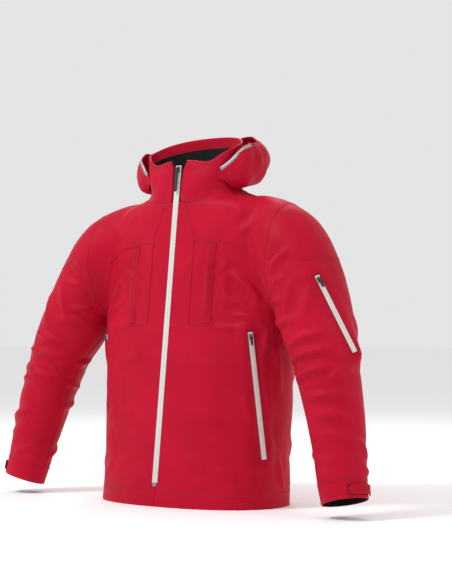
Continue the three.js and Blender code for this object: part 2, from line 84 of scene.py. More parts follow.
# centre x, y, z, tilt and lean in degrees, radius up, radius across. Stations -2 and -1 lie inside the torso.
SLEEVE = np.array([
    (0.128, 0.008, 0.600, 0, 0, 0.092, 0.045),
    (0.196, 0.012, 0.574, 0, 0, 0.117, 0.070),
    (0.258, 0.002, 0.547, 4, 0, 0.121, 0.092),
    (0.292, -0.004, 0.520, 18, 3, 0.112, 0.092),
    (0.325, -0.016, 0.462, 36, 7, 0.096, 0.088),
    (0.355, -0.030, 0.400, 50, 10, 0.082, 0.082),
    (0.384, -0.045, 0.332, 62, 10, 0.071, 0.074),
    (0.425, -0.066, 0.190, 73, 9, 0.060, 0.060),
    (0.460, -0.090, 0.034, 76, 9, 0.052, 0.045),
])
WRIST = 6.0
ELBOW = 4.24

COLLAR_TOP_FRONT_Z = 0.774
COLLAR_TOP_BACK_Z = 0.836
COLLAR_TOP_HALF_WIDTH = 0.125
COLLAR_TOP_BACK_Y = 0.058
COLLAR_SKIRT = 0.28  # share of the collar's height that flares out onto the shoulders

HOOD_FRONT = 52  # the angle where the hood's tips begin
# out from the neck and up, at five stations from the neck seam to the brim
HOOD_SIDE = np.array([(16, 2), (46, 12), (60, 42), (57, 76), (42, 100)]) * MM
HOOD_REAR = np.array([(16, 2), (62, 6), (93, 46), (86, 86), (58, 112)]) * MM


def along(stations, s):
    """Catmull-Rom through the rows of a table at a fractional station."""
    last = len(stations) - 1
    i = min(max(int(math.floor(s)), 0), last - 1)
    t = s - i
    a, b, c, d = (stations[min(max(k, 0), last)] for k in (i - 1, i, i + 1, i + 2))
    return b + 0.5 * t * (c - a + t * (2 * a - 5 * b + 4 * c - d + t * (3 * (b - c) + d - a)))


def smoothstep(x, low, high):
    t = np.clip((x - low) / (high - low), 0, 1)
    return t * t * (3 - 2 * t)


def front_y(z):
    return FRONT_HEM_Y + FRONT_SLOPE * z


def superellipse(theta, half_width, front, back, z):
    s, c = math.sin(math.radians(theta)), math.cos(math.radians(theta))
    x = half_width * math.copysign(abs(s) ** (2 / SECTION_POWER), s)
    y = (front + back) / 2 - (back - front) / 2 * math.copysign(abs(c) ** (2 / SECTION_POWER), c)
    return np.array((x, y, z))


def torso_point(theta, s):
    z, w, b, k = along(TORSO, s)
    return superellipse(theta, w, front_y(z - k), b, z - k * math.cos(math.radians(theta)))


def torso_station(z):
    low, high = 0.0, float(NECK_STATION)
    for _ in range(30):
        middle = (low + high) / 2
        if along(TORSO, middle)[0] < z:
            low = middle
        else:
            high = middle
    return low


def torso_at(theta, z):
    return torso_point(theta, torso_station(z))


def torso_front(x, z):
    """The point on the torso's front at a distance x from the centre."""
    s = torso_station(z)
    share = min(1.0, (abs(x) / along(TORSO, s)[1]) ** (SECTION_POWER / 2))
    return torso_point(math.copysign(math.degrees(math.asin(share)), x), s)


def sleeve_frame(s):
    """Centre, down, up and deep directions and the two radii at a sleeve station."""
    x, y, z, tilt, lean, up_r, deep_r = along(SLEEVE, s + 2)
    t, l = math.radians(tilt), math.radians(lean)
    down = np.array((math.cos(t) * math.cos(l), -math.sin(l), -math.sin(t) * math.cos(l)))
    up = np.array((math.sin(t), 0, math.cos(t)))
    return np.array((x, y, z)), down, up, np.cross(up, down), up_r, deep_r


def sleeve_point(phi, s, sign):
    centre, _, up, deep, up_r, deep_r = sleeve_frame(s)
    a = math.radians(phi)
    p = centre + up * up_r * math.cos(a) + deep * deep_r * math.sin(a)
    return p * (sign, 1, 1)


def collar_point(theta, v):
    base = torso_point(theta, NECK_STATION)
    share = (1 - math.cos(math.radians(theta))) / 2
    top_z = COLLAR_TOP_FRONT_Z + (COLLAR_TOP_BACK_Z - COLLAR_TOP_FRONT_Z) * share
    front = front_y(COLLAR_TOP_FRONT_Z)
    top = superellipse(theta, COLLAR_TOP_HALF_WIDTH, front, COLLAR_TOP_BACK_Y, top_z)
    return base + (top - base) * v + (0, 0, MM)


def collar_shape(theta, v):
    """The collar, with a skirt that runs out smoothly onto the shoulders and a dip beside the zip."""
    near = min(theta, 360 - theta)
    if v < COLLAR_SKIRT:
        t = v / COLLAR_SKIRT
        foot, corner = torso_point(theta, NECK_STATION - 0.9), collar_point(theta, 0)
        return foot * (1 - t) ** 2 + corner * 2 * t * (1 - t) + collar_point(theta, COLLAR_SKIRT) * t * t
    dip = 0.011 * math.exp(-(((near - 34) / 16) ** 2)) * smoothstep(v, 0.5, 1)
    return collar_point(theta, v) - (0, 0, dip)


def outwards(theta):
    """The level direction away from the neck."""
    base = collar_point(theta, 0)
    flat = np.array((base[0], base[1] + 0.008, 0))
    return flat / np.linalg.norm(flat)


# ---------- mesh tools ----------

class Cloth:
    """A sheet of cloth: its outer points and normals, and its faces."""

    def __init__(self, points, faces):
        self.points = np.asarray(points, float)
        self.faces = [tuple(f) for f in faces]
        self.normals = point_normals(self.points, self.faces)


def face_normals(points, faces):
    """Area-weighted normals, from each face's first corners."""
    corners = np.array([(f[0], f[1], f[2], f[-1]) for f in faces])
    p = points[corners]
    return np.cross(p[:, 1] - p[:, 0], p[:, 2] - p[:, 0]) + np.cross(p[:, 2] - p[:, 0], p[:, 3] - p[:, 0])


def point_normals(points, faces):
    normals = np.zeros_like(points)
    per_face = face_normals(points, faces)
    for k in range(max(len(f) for f in faces)):
        rows = [i for i, f in enumerate(faces) if len(f) > k]
        np.add.at(normals, [faces[i][k] for i in rows], per_face[rows])
    lengths = np.linalg.norm(normals, axis=1, keepdims=True)
    return normals / np.maximum(lengths, 1e-12)


def new_object(name, points, faces, materials, indices=None, loop_normals=None):
    mesh = bpy.data.meshes.new(name)
    mesh.from_pydata([tuple(p) for p in points], [], faces)
    mesh.update()
    for material in materials:
        mesh.materials.append(material)
    if indices is not None:
        mesh.polygons.foreach_set("material_index", np.asarray(indices, np.int32))
    mesh.polygons.foreach_set("use_smooth", np.ones(len(mesh.polygons), bool))
    if loop_normals is not None:
        mesh.normals_split_custom_set(loop_normals)
    obj = bpy.data.objects.new(name, mesh)
    bpy.context.scene.collection.objects.link(obj)
    return obj


def evaluated_arrays(obj):
    """An object's points and faces with its modifiers applied; the object is then removed."""
    graph = bpy.context.evaluated_depsgraph_get()
    mesh = bpy.data.meshes.new_from_object(obj.evaluated_get(graph))
    points = np.empty(len(mesh.vertices) * 3)
    mesh.vertices.foreach_get("co", points)
    faces = [tuple(p.vertices) for p in mesh.polygons]
    bpy.data.objects.remove(obj)
    return points.reshape(-1, 3), faces


def grid_faces(rows, columns, closed):
    """Quads of a grid whose points run column by column in each row."""
    across = columns if closed else columns - 1
    faces = []
    for j in range(rows - 1):
        for i in range(across):
            a, b = j * columns + i, j * columns + (i + 1) % columns
            faces.append((a, b, b + columns, a + columns))
    return faces


def tube_faces(rows, columns):
    """Faces of a closed tube, with one face over each end."""
    caps = [tuple(reversed(range(columns))), tuple(range((rows - 1) * columns, rows * columns))]
    return grid_faces(rows, columns, True) + caps


def closed_loft(rings):
    """A closed tube through rings of the same number of points."""
    rings = np.array(rings)
    return rings.reshape(-1, 3), tube_faces(*rings.shape[:2])


def relax(points, faces, rounds, amount=0.5):
    """Evens out a mesh: each point moves towards the middle of its neighbours."""
    edges = np.array(sorted({tuple(sorted((f[k - 1], f[k]))) for f in faces for k in range(len(f))}))
    counts = np.bincount(edges.ravel(), minlength=len(points))[:, None]
    for step in range(rounds):
        total = np.zeros_like(points)
        for axis in range(3):
            total[:, axis] += np.bincount(edges[:, 0], points[edges[:, 1], axis], len(points))
            total[:, axis] += np.bincount(edges[:, 1], points[edges[:, 0], axis], len(points))
        pull = amount if step % 2 == 0 else -amount * 0.9
        points = points + pull * (total / counts - points)
    return points


def thicken(name, cloth, thickness, face_groups, materials):
    """Gives cloth an inner face and rims, and makes one object for each group of faces."""
    count = len(cloth.points)
    points = np.vstack([cloth.points, cloth.points - cloth.normals * thickness])
    outer = cloth.faces
    inner = [tuple(i + count for i in reversed(f)) for f in outer]
    owner = {}
    for number, f in enumerate(outer):
        for k in range(len(f)):
            owner[(f[k - 1], f[k])] = number
    rims = [(a, b, number) for (a, b), number in owner.items() if (b, a) not in owner]
    faces = outer + inner + [(b, a, a + count, b + count) for a, b, _ in rims]
    groups = face_groups
    if not isinstance(groups, str):
        groups = groups * 2 + [groups[number] for _, _, number in rims]
    kinds = [0] * len(outer) + [1] * len(outer) + [0] * len(rims)
    normals = np.vstack([cloth.normals, -cloth.normals])
    loops = [normals[v] for f in outer + inner for v in f]
    for flat in face_normals(points, faces[2 * len(outer):]):
        loops += [flat / max(np.linalg.norm(flat), 1e-12)] * 4
    return part_out(name, points, faces, kinds, groups, materials, loops)


def part_out(name, points, faces, kinds, groups, materials, loops=None):
    """Makes one object for each group of faces and binds it. groups is one name, or a name for each face."""
    if isinstance(groups, str):
        groups = [groups] * len(faces)
    starts = np.cumsum([0] + [len(f) for f in faces])
    objects = {}
    for group in sorted(set(groups)):
        chosen = [i for i, g in enumerate(groups) if g == group]
        used = sorted({v for i in chosen for v in faces[i]})
        place = {v: i for i, v in enumerate(used)}
        own = [loops[k] for i in chosen for k in range(starts[i], starts[i + 1])] if loops else None
        obj = new_object(
            name if len(set(groups)) == 1 else f"{name}_{group}",
            points[used],
            [tuple(place[v] for v in faces[i]) for i in chosen],
            materials,
            [kinds[i] for i in chosen],
            own,
        )
        bind(obj, group)
        objects[group] = obj
    return objects


# ---------- folds ----------

def soft_noise(point, coarse, fine):
    """Gentle unevenness in two sizes, from their scales."""
    return noise.noise(Vector(point) * coarse) + 0.5 * noise.noise(Vector(point) * fine)


def stroke_distance(points, path):
    """Distance from each point to a polyline, and how far along it the nearest place is, 0 to 1."""
    best = np.full(len(points), 1e9)
    share = np.zeros(len(points))
    for k in range(len(path) - 1):
        a, d = path[k], path[k + 1] - path[k]
        t = np.clip((points - a) @ d / (d @ d), 0, 1)
        gap = np.linalg.norm(points - a - t[:, None] * d, axis=1)
        nearer = gap < best
        best[nearer] = gap[nearer]
        share[nearer] = (k + t[nearer]) / (len(path) - 1)
    return best, share


def fold_lift(points, path, width, height):
    """A rounded crease with a shallow hollow on both sides, fading out towards its ends."""
    reach = np.ptp(path, axis=0) / 2 + 4 * width
    near = np.flatnonzero(np.all(np.abs(points - path.mean(0)) < reach, axis=1))
    lift = np.zeros(len(points))
    gap, share = stroke_distance(points[near], path)
    ends = np.clip(4 * share * (1 - share), 0, 1) ** 0.7
    u = gap / width
    lift[near] = height * ends * (np.exp(-u * u) - 0.45 * np.exp(-(u / 2.2) ** 2))
    return lift


# On the torso: angle and height at each end, width, height, and sideways bow, in degrees and millimetres.
TORSO_FOLDS = [
    # from the armpit across the chest
    (58, 452, 34, 520, 11, 4.2, 6), (60, 432, 30, 470, 10, 3.4, -5), (62, 408, 38, 424, 9, 2.8, 4),
    # chest pocket
    (20, 420, 21, 575, 8, 1.8, 2), (33, 430, 31, 560, 12, 2.2, -3), (24, 402, 46, 396, 9, 2.2, 3),
    (22, 512, 34, 540, 7, 1.6, 2),
    # waist and side
    (70, 390, 60, 300, 12, 3.2, 4), (76, 360, 84, 250, 11, 3.0, -5), (64, 286, 80, 210, 12, 2.8, 5),
    (50, 250, 66, 190, 13, 2.4, -4), (70, 200, 84, 120, 10, 3.0, 6), (78, 150, 64, 74, 9, 2.8, -5),
    (88, 120, 96, 40, 9, 2.6, 4), (14, 330, 34, 300, 16, 1.8, 4), (16, 210, 40, 180, 18, 2.0, -4),
    (12, 120, 30, 90, 14, 1.6, 3), (36, 90, 52, 60, 12, 1.8, -3), (84, 330, 104, 300, 12, 2.6, 4),
    # back
    (122, 450, 150, 500, 13, 3.6, 6), (124, 420, 158, 430, 13, 3.2, -6), (120, 380, 150, 350, 14, 2.8, 5),
    (112, 300, 140, 250, 15, 2.8, -6), (120, 220, 160, 190, 16, 2.4, 5), (108, 150, 132, 90, 13, 2.6, -4),
    (150, 560, 172, 520, 15, 1.8, 4), (140, 130, 170, 100, 15, 2.0, 4),
    # shoulder top
    (48, 676, 44, 640, 12, 1.6, 2), (60, 640, 40, 600, 12, 2.0, 3),
]

# On a sleeve: angle and station at each end, width, height and bow.
SLEEVE_FOLDS = [
    (-100, 0.55, -60, 1.3, 10, 3.2, 4), (-120, 0.7, -80, 1.7, 9, 3.0, -4), (-140, 0.9, -100, 2.1, 9, 3.0, 4),
    (-70, 1.9, -110, 2.6, 11, 2.8, 4), (-150, 1.8, -90, 3.0, 10, 3.2, -5), (-40, 2.4, -80, 3.2, 13, 2.2, 5),
    # inside of the elbow
    (-130, 3.5, -50, 3.8, 9, 4.2, -4), (-140, 3.9, -40, 4.1, 8, 4.6, 3), (-135, 4.3, -45, 4.35, 8, 4.4, -3),
    (-120, 4.6, -30, 4.7, 9, 3.6, 4), (-100, 4.9, -20, 5.05, 10, 3.0, -4), (-60, 4.5, 10, 4.3, 10, 2.6, 3),
    (150, 3.7, 200, 3.95, 9, 3.2, 3), (140, 4.3, 200, 4.25, 8, 3.4, -3), (120, 4.7, 190, 4.8, 9, 2.8, 3),
    # forearm
    (-90, 5.1, -10, 5.3, 9, 2.6, 4), (-40, 5.2, 40, 5.45, 10, 2.4, -4), (60, 5.0, 130, 5.25, 10, 2.6, 4),
    (100, 5.3, 180, 5.5, 9, 2.6, -3), (-150, 5.3, -80, 5.5, 9, 2.6, 3), (0, 5.55, 80, 5.6, 8, 1.8, 2),
    # back of the arm
    (60, 0.7, 110, 1.5, 12, 3.0, 5), (80, 1.5, 130, 2.3, 12, 3.0, -5), (70, 2.6, 120, 3.2, 12, 2.8, 4),
    (20, 3.3, 70, 3.9, 13, 2.2, -4), (40, 4.1, 90, 4.5, 12, 2.6, 4),
]

FOLD_DEPTH = 3.1  # all the heights above are multiplied by this
SOFTNESS = 0.0016


def bowed(path, bow):
    """Bends a straight path sideways by bow at its middle."""
    along_it = path[-1] - path[0]
    side = np.cross(along_it, path.mean(0) * (1, 1, 0))
    side /= max(np.linalg.norm(side), 1e-9)
    share = np.linspace(0, 1, len(path))[:, None]
    return path + side * bow * 4 * share * (1 - share)


def folds_of(table, place, drift_size, drift_turn):
    """The creases of one table. Each one's second coordinate drifts by a little of its own."""
    folds = []
    for number, (a0, b0, a1, b1, width, height, bow) in enumerate(table):
        drift = drift_size * math.sin(drift_turn * number)
        path = [place(a0 + (a1 - a0) * t, b0 + (b1 - b0) * t + drift) for t in np.linspace(0, 1, 9)]
        folds.append((bowed(np.array(path), bow * MM), width * MM, FOLD_DEPTH * height * MM))
    return folds


def all_folds():
    """Every crease as (path, width, height). Only the right side's drift, so that it doesn't mirror."""
    folds = []
    for _, sign in SIDES:
        shift = 0 if sign > 0 else 1
        folds += folds_of(TORSO_FOLDS, lambda a, z: torso_at(sign * a, z * MM), shift * 9, 5)
        folds += folds_of(SLEEVE_FOLDS, lambda a, s: sleeve_point(a, s, sign), shift * 0.1, 4)
    return folds


# ---------- materials ----------

RED = (0.50, 0.0024, 0.027)
DEEP_RED = (0.41, 0.0014, 0.020)
BLACK = (0.006, 0.006, 0.007)
OFF_WHITE = (0.72, 0.74, 0.70)
GREY = (0.36, 0.37, 0.38)


class Look:
    """A material under construction: its nodes, its coordinates in metres, and its bump chain."""

    def __init__(self, name, **sockets):
        self.material = bpy.data.materials.new(name)
        self.material.use_nodes = True
        self.tree = self.material.node_tree
        self.shader = self.tree.nodes["Principled BSDF"]
        for socket, value in sockets.items():
            self.shader.inputs[socket.replace("_", " ")].default_value = value
        self.place = self.tree.nodes.new("ShaderNodeTexCoord").outputs["Object"]
        self.bump = None

    def add(self, kind, **inputs):
        """A new node; an input given another node's output is linked to it, any other is set."""
        node = self.tree.nodes.new(f"ShaderNode{kind}")
        for name, value in inputs.items():
            socket = node.inputs[name.replace("_", " ")]
            if isinstance(value, bpy.types.NodeSocket):
                self.tree.links.new(value, socket)
            else:
                socket.default_value = value
        return node

    def shade(self, socket, value):
        self.tree.links.new(value, self.shader.inputs[socket])

    def noise(self, scale, detail=3.0, roughness=0.5):
        node = self.add("TexNoise", Vector=self.place, Scale=scale, Detail=detail, Roughness=roughness)
        return node.outputs["Fac"]

    def waves(self, direction, scale):
        node = self.add("TexWave", Vector=self.place, Scale=scale)
        node.bands_direction = direction
        return node.outputs["Fac"]

    def weave(self, scale):
        """Warp and weft threads: the product of bands that run up and bands that run diagonally round."""
        node = self.add("Math")
        node.operation = "MULTIPLY"
        self.tree.links.new(self.waves("Z", scale), node.inputs[0])
        self.tree.links.new(self.waves("DIAGONAL", scale * 1.7), node.inputs[1])
        return node.outputs[0]

    def color(self, value, low, high, ramp_end):
        """Base colour from low to high over the pattern."""
        node = self.add("ValToRGB", Fac=value)
        for element, position, color in zip(node.color_ramp.elements, (0.3, ramp_end), (low, high)):
            element.position = position
            element.color = (*color, 1)
        self.shade("Base Color", node.outputs["Color"])

    def gloss(self, value, low, high):
        """Roughness from low to high over the pattern."""
        node = self.add("MapRange", Value=value, From_Min=0.3, From_Max=0.7, To_Min=low, To_Max=high)
        self.shade("Roughness", node.outputs["Result"])

    def relief(self, value, height, strength):
        """Adds a bump of a height in metres on top of the bumps so far."""
        node = self.add("Bump", Height=value, Strength=strength, Distance=height)
        if self.bump is not None:
            self.tree.links.new(self.bump, node.inputs["Normal"])
        self.bump = node.outputs["Normal"]
        self.shade("Normal", self.bump)


def patterned(name, tint, gloss, bumps, ramp_end=0.7, **sockets):
    """tint and gloss: noise scale, detail, and the two colours or roughnesses that it runs between.
    bumps: kind of pattern, its settings, height in millimetres, strength."""
    look = Look(name, **sockets)
    scale, detail, low, high = tint
    look.color(look.noise(scale, detail), low, high, ramp_end)
    if gloss:
        scale, detail, low, high = gloss
        look.gloss(look.noise(scale, detail), low, high)
    for kind, settings, height, strength in bumps:
        look.relief(getattr(look, kind)(*settings), height * MM, strength)
    return look.material


def shell_look(name, low, high):
    """Coated face fabric: soft crinkles in two sizes over a fine weave, and a slight sheen."""
    bumps = [
        ("noise", (34.0, 3.0, 0.55), 1.3, 0.5),
        ("noise", (110.0, 2.0), 0.5, 0.4),
        ("weave", (900.0,), 0.12, 0.5),
    ]
    return patterned(
        name, (9.0, 4.0, low, high), (30.0, 3.0, 0.46, 0.62), bumps, 0.72,
        Sheen_Weight=0.02, Sheen_Roughness=0.4, Specular_IOR_Level=0.1,
    )


SHELL = shell_look("shell_red", DEEP_RED, RED)
# A darker copy of the same red shell fabric: painted shade on the seams, welts, zip lips, hood tab, cuff tabs
# and storm flap, which are cut from that cloth.
SHADED_SHELL = shell_look("shell_red_painted_shade", (0.36, 0.0014, 0.017), (0.45, 0.0022, 0.024))
LINING = patterned(
    "lining_black", (40.0, 3.0, BLACK, (0.011, 0.011, 0.013)), (60.0, 3.0, 0.7, 0.9),
    [("noise", (26.0,), 1.5, 0.5), ("weave", (700.0,), 0.2, 0.6)],
    Sheen_Weight=0.05, Sheen_Roughness=0.5, Specular_IOR_Level=0.15,
)
TAPE = patterned(
    "zip_tape_pale", (300.0, 2.0, (0.66, 0.68, 0.64), OFF_WHITE), (200.0, 3.0, 0.42, 0.6),
    [("waves", ("Z", 420.0), 0.25, 0.8)], Specular_IOR_Level=0.4,
)
THREAD = patterned(
    "thread_red", (500.0, 3.0, (0.30, 0.003, 0.014), (0.42, 0.006, 0.024)), None,
    [("waves", ("DIAGONAL", 1500.0), 0.1, 0.7)], Roughness=0.6, Sheen_Weight=0.2,
)
METAL = patterned(
    "zip_metal_satin", (250.0, 3.0, (0.30, 0.30, 0.31), (0.44, 0.44, 0.45)), (180.0, 4.0, 0.25, 0.42),
    [("noise", (900.0,), 0.05, 0.4)], Metallic=0.9,
)
RUBBER = patterned(
    "pull_rubber", (200.0, 3.0, (0.010, 0.010, 0.011), (0.020, 0.020, 0.022)), (300.0, 3.0, 0.42, 0.6),
    [("waves", ("Z", 160.0), 0.25, 0.7)], Specular_IOR_Level=0.45,
)
REFLECTIVE = patterned(
    "reflective_grey", (150.0, 3.0, (0.30, 0.31, 0.32), GREY), (220.0, 3.0, 0.3, 0.45),
    [("weave", (1100.0,), 0.1, 0.6)], Metallic=0.35, Specular_IOR_Level=0.6,
)

# ---------- bodies ----------

ARMHOLE_X = 0.2525
ARM_SPLIT = 4.0
ARM_INNER_X = 0.28  # at and below the split the arms lie outside this, and the torso inside
ELBOW_REACH = (-0.010, 0.075)  # where the elbow's ends lie along the sleeve, below the sleeve pocket


def bind(obj, group):
    """Puts a piece on its body; a shoulder, arm or hood piece has its placement baked into its mesh instead.
    """
    part, _, side = group.partition("_")
    sign = -1 if side == "right" else 1
    if part == "shoulder":
        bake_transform(obj)
    elif part == "arm":
        centre, down = sleeve_frame(ELBOW)[:2]
        ends = [(centre + down * reach) * (sign, 1, 1) for reach in ELBOW_REACH]
        tuple(ends[0])
        tuple(ends[1])
        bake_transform(obj)
    elif part == "hood":
        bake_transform(obj)
    elif part == "torso":
        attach(obj, "shell")
    else:
        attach(obj, group)


def group_at(point):
    """The part of the skin that a point on it belongs to."""
    side, sign = SIDES[0] if point[0] > 0 else SIDES[1]
    if abs(point[0]) <= ARMHOLE_X:
        return "torso"
    centre, down = sleeve_frame(ARM_SPLIT)[:2]
    below = (np.array(point) * (sign, 1, 1) - centre) @ down > 0
    return f"arm_{side}" if below and abs(point[0]) > ARM_INNER_X else f"shoulder_{side}"


# ---------- camera, floor and light ----------

CAMERA_AZIMUTH = 38
CAMERA_DISTANCE = 3.5
CAMERA_HEIGHT = 0.37
CAMERA_LENS = 93.8
CAMERA_SHIFT = (0.051, 0.082)
LIGHT_AIM = Vector((0, 0, 0.45))
WORLD_STRENGTH = 0.78


def around(azimuth, distance, height):
    """A place seen from the front of the jacket at an azimuth towards its left."""
    a = math.radians(azimuth)
    return Vector((distance * math.sin(a), -distance * math.cos(a), height))


def make_camera():
    data = bpy.data.cameras.new("camera")
    data.lens = CAMERA_LENS
    data.shift_x, data.shift_y = CAMERA_SHIFT
    camera = bpy.data.objects.new("camera", data)
    camera.location = around(CAMERA_AZIMUTH, CAMERA_DISTANCE, CAMERA_HEIGHT)
    camera.rotation_euler = (math.pi / 2, 0, math.radians(CAMERA_AZIMUTH))
    bpy.context.scene.collection.objects.link(camera)
    bpy.context.scene.camera = camera


def area_light(name, azimuth, height, distance, size, power):
    data = bpy.data.lights.new(name, "AREA")
    data.shape = "DISK"
    data.size = size
    data.energy = power
    light = bpy.data.objects.new(name, data)
    light.location = around(azimuth, distance, height)
    light.rotation_euler = (LIGHT_AIM - light.location).to_track_quat("-Z", "Y").to_euler()
    bpy.context.scene.collection.objects.link(light)


def make_studio():
    bpy.ops.mesh.primitive_plane_add(size=120)
    floor = bpy.context.object
    floor.name = "floor"
    look = Look("floor_pale", Roughness=0.9, Base_Color=(0.96, 0.96, 0.96, 1), Specular_IOR_Level=0)
    floor.data.materials.append(look.material)
    world = bpy.data.worlds.new("studio")
    world.use_nodes = True
    background = world.node_tree.nodes["Background"]
    background.inputs["Color"].default_value = (1, 1, 1, 1)
    background.inputs["Strength"].default_value = WORLD_STRENGTH
    bpy.context.scene.world = world
    area_light("key", -30, 3.2, 2.2, 0.9, 62)
    area_light("fill", 96, 1.6, 2.8, 1.4, 9)
    area_light("rim", 215, 2.6, 2.6, 1.2, 26)


# ---------- the skin: torso and sleeves in one cloth ----------

ZIP_BOTTOM_Z = 0.052
ZIP_TOP_Z = 0.765
ZIP_SLOT = 0.0073  # half the opening in the cloth behind the front zip
POCKET_TAPE_SCALE = 0.8
POCKET_SLOT = 0.0051  # the same behind a pocket zip
PRESS_DEPTH = 0.0012  # how far behind a pocket zip the cloth lies
WALL = 0.0024
VOXEL = 0.0042

# top, bottom and the angle the zip faces, on the left side
HAND_ZIP = ((0.206, -0.0725, 0.388), (0.2295, -0.0525, 0.108), 49)
SLEEVE_ZIP = ((0.378, -0.071, 0.507), (0.458, -0.046, 0.344), 60)
POCKET_ZIPS = (
    ("hand_pocket_zip_left", HAND_ZIP, 1, "shell"),
    ("hand_pocket_zip_right", HAND_ZIP, -1, "shell"),
    ("sleeve_pocket_zip", SLEEVE_ZIP, 1, "upper_sleeve_left"),
)


def zip_frame(strip, sign):
    """Top, bottom, and the directions up, out and across of a straight pocket zip."""
    top, bottom = (np.array(p) * (sign, 1, 1) for p in strip[:2])
    a = math.radians(strip[2])
    up = (top - bottom) / np.linalg.norm(top - bottom)
    across = np.cross(up, np.array((sign * math.sin(a), -math.cos(a), 0)))
    across /= np.linalg.norm(across)
    return top, bottom, up, np.cross(across, up), across


def rough_skin():
    """Closed torso and sleeve lofts, fused into one surface and evened out."""
    angles = np.arange(0, 360, 3)
    below = np.array([torso_point(a, 0) - (0, 0, 0.03) for a in angles])
    rings = [below] + [[torso_point(a, s) for a in angles] for s in np.arange(0, NECK_STATION + 0.01, 0.2)]
    neck = [collar_point(a, 0.25) for a in angles]
    parts = [closed_loft(rings + [neck])]
    for _, sign in SIDES:
        stations = np.arange(-2, WRIST + 0.3, 0.1)
        parts.append(closed_loft([[sleeve_point(sign * a, s, sign) for a in angles] for s in stations]))
    points, faces = np.zeros((0, 3)), []
    for more, its_faces in parts:
        faces += [tuple(i + len(points) for i in f) for f in its_faces]
        points = np.vstack([points, more])
    obj = new_object("rough", points, faces, [])
    remesh = obj.modifiers.new("voxels", "REMESH")
    remesh.mode = "VOXEL"
    remesh.voxel_size = VOXEL
    points, faces = evaluated_arrays(obj)
    return relax(points, faces, 14), faces


def press_to_zip(points, strip, sign):
    """Brings the cloth to lie just behind a straight pocket zip."""
    top, bottom, up, out, _ = zip_frame(strip, sign)
    length = np.linalg.norm(top - bottom)
    rel = points - bottom
    t = rel @ up
    h = rel @ out
    away = np.linalg.norm(rel - t[:, None] * up - h[:, None] * out, axis=1)
    past = np.maximum(np.maximum(-t, t - length), 0)
    weight = (1 - smoothstep(np.hypot(away, past), 0.008, 0.036)) * (np.abs(h) < 0.03)
    return points - (weight * (PRESS_DEPTH + h))[:, None] * out


def keep_flat(points, lift):
    """Creases stop short of the zips, the hem and the wrists, where the cloth is held straight."""
    hold = smoothstep(np.abs(points[:, 0]), 0.012, 0.05)
    hold = np.where(points[:, 1] > 0, 1, hold)
    hold *= 0.35 + 0.65 * smoothstep(points[:, 2], 0.0, 0.05)
    hold *= 1 - 0.7 * smoothstep(points[:, 2], 0.68, 0.71)
    return lift * hold


def creased(points, faces):
    normals = point_normals(points, faces)
    lift = np.zeros(len(points))
    for path, width, height in all_folds():
        lift += fold_lift(points, path, width, height)
    soft = np.array([soft_noise(p, 11, 27) for p in points])
    lift = keep_flat(points, lift + SOFTNESS * soft)
    points = points + normals * lift[:, None]
    for _, strip, sign, _ in POCKET_ZIPS:
        points = press_to_zip(points, strip, sign)
    return points


def bisect(bm, where, origin, normal, clear=False):
    """Cuts the faces that where picks along a plane; clear removes what lies past it."""
    chosen = [f for f in bm.faces if where(f.calc_center_median())]
    parts = dict.fromkeys(chosen)
    for f in chosen:
        parts.update(dict.fromkeys([*f.verts, *f.edges]))
    bmesh.ops.bisect_plane(
        bm, geom=list(parts), dist=1e-6, plane_co=origin, plane_no=normal, clear_outer=clear
    )


def near_hem(c):
    return abs(c.x) < 0.30 and c.z < 0.02


def near_neck(c):
    return abs(c.x) < 0.13 and c.z > 0.66


def near_front_zip(c):
    return abs(c.x) < 0.02 and c.y < -0.03


def cut_side(bm, sign):
    """Opens a wrist, and cuts across the arm, round the armhole and beside the front zip."""
    mirror = (sign, 1, 1)
    centre, down = sleeve_frame(WRIST)[:2]
    near_wrist = lambda c: c.x * sign > 0.38 and c.z < 0.1
    bisect(bm, near_wrist, Vector(centre * mirror), Vector(down * mirror), clear=True)
    centre, down = sleeve_frame(ARM_SPLIT)[:2]
    bisect(bm, lambda c: c.x * sign > ARM_INNER_X, Vector(centre * mirror), Vector(down * mirror))
    bisect(bm, lambda c: c.z > 0.3, (sign * ARMHOLE_X, 0, 0), (sign, 0, 0))
    bisect(bm, near_front_zip, (sign * ZIP_SLOT, 0, 0), (sign, 0, 0))


def pocket_slot(bm, strip, sign):
    """Cuts along both sides of a pocket zip, and returns the faces between the cuts."""
    top, bottom, up, out, across = zip_frame(strip, sign)
    length = np.linalg.norm(top - bottom)

    def beside(c, reach):
        """Whether a place lies over the zip, within reach of its centre line."""
        rel = np.array(c) - bottom
        return abs(rel @ across) < reach and abs(rel @ out) < 0.02 and 0.002 < rel @ up < length - 0.002

    for way in (1, -1):
        edge = Vector(bottom + across * way * POCKET_SLOT)
        bisect(bm, lambda c: beside(c, 0.014), edge, Vector(across * way))
    return [f for f in bm.faces if beside(f.calc_center_median(), POCKET_SLOT)]


